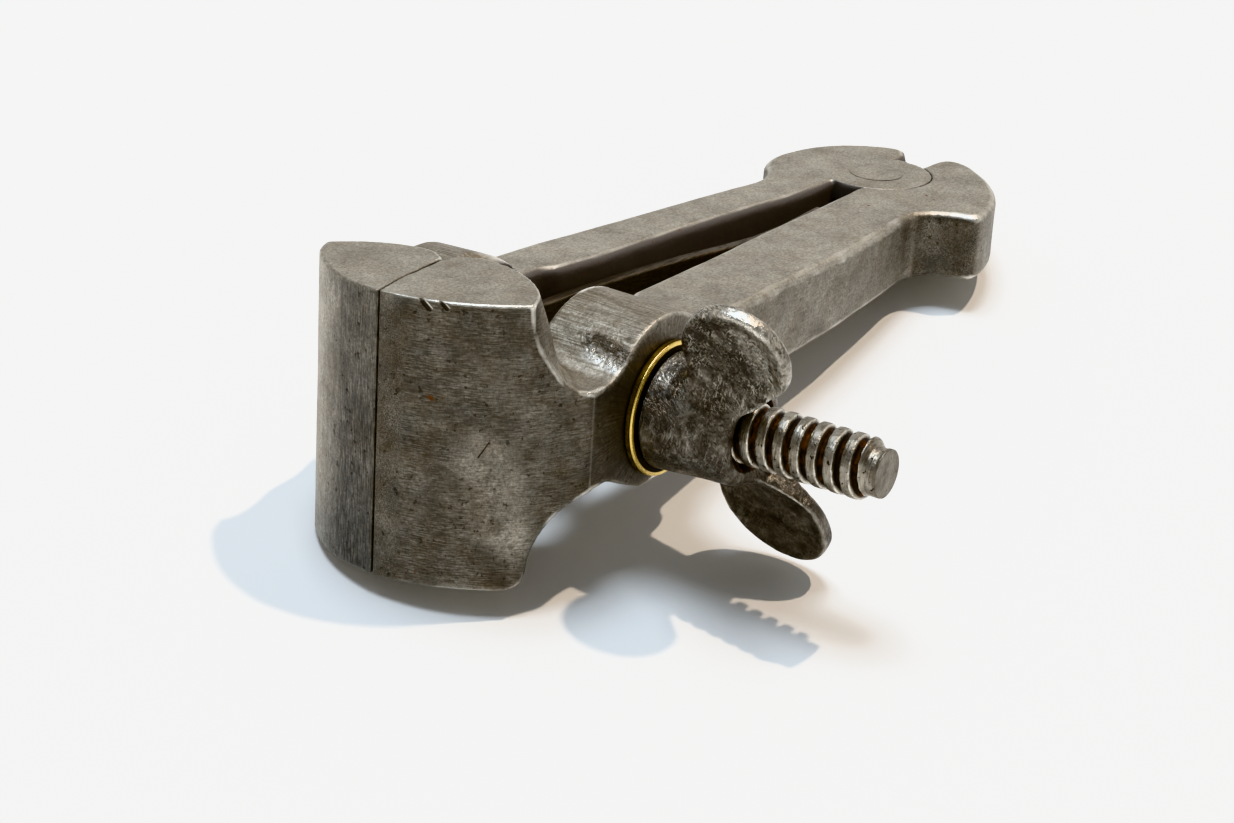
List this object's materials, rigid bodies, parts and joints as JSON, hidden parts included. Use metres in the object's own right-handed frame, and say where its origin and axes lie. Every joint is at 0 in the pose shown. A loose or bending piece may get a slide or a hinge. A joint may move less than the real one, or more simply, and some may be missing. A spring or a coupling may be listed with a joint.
{
  "type": "hand vise",
  "caption": "Forged hand vise with two hinged arms, a swinging clamp screw, a round-eared wing nut on a brass washer, and a leaf spring between the legs.",
  "frame": {"origin": "On the closed seam between the jaws, at the jaw tips and at the height of the jaws' underside.", "axes": "X runs from the jaw tips to the hinge, Y from the wing nut side to the rear arm, Z along the jaw width and the hinge axis."},
  "size_m": [0.1128, 0.0577, 0.0322],
  "materials": {
    "forged_iron": "bare forged iron, filed and worn, warm grey patina",
    "dark_iron": "dark oily forge scale with bright worn rims",
    "screw_steel": "turned steel with rust in the thread roots",
    "spring_steel": "dull spring steel with a brown patina",
    "washer_brass": "dull brass with a bright edge"
  },
  "bodies": {
    "rear": {"rear_arm": "forged_iron", "hinge_rivet": "forged_iron", "screw_pin": "screw_steel"},
    "front": {"front_arm": "forged_iron", "leaf_spring": "spring_steel", "spring_rivet": "spring_steel"},
    "screw": {"clamp_screw": "screw_steel"},
    "washer": {"washer": "washer_brass"},
    "nut": {"wing_nut": "dark_iron"}
  },
  "joints": [
    {"name": "jaw_open", "type": "hinge", "parent": "rear", "child": "front", "pos_m": [0.1005, 0, 0.015], "axis": [0, 0, 1], "range_deg": [0, 8.4], "deforming": ["leaf_spring"]},
    {"name": "screw_swing", "type": "hinge", "parent": "rear", "child": "screw", "pos_m": [0.0253, 0.0102, 0.015], "axis": [0, 0, 1], "range_deg": [0, 4.6]},
    {"name": "nut_travel", "type": "slide", "parent": "screw", "child": "washer", "axis": [0, -1, 0], "range_m": [0, 0.0115]},
    {"name": "nut_spin", "type": "hinge", "parent": "washer", "child": "nut", "pos_m": [0.0253, -0.02, 0.015], "axis": [0, -1, 0], "range_deg": [0, 2165]}
  ],
  "couplings": [
    {"joint": "screw_swing", "follows": "jaw_open", "ratio": 0.54},
    {"joint": "nut_travel", "follows": "jaw_open", "m_per_rad": 0.07773},
    {"joint": "nut_spin", "follows": "jaw_open", "ratio": 257.05}
  ]
}
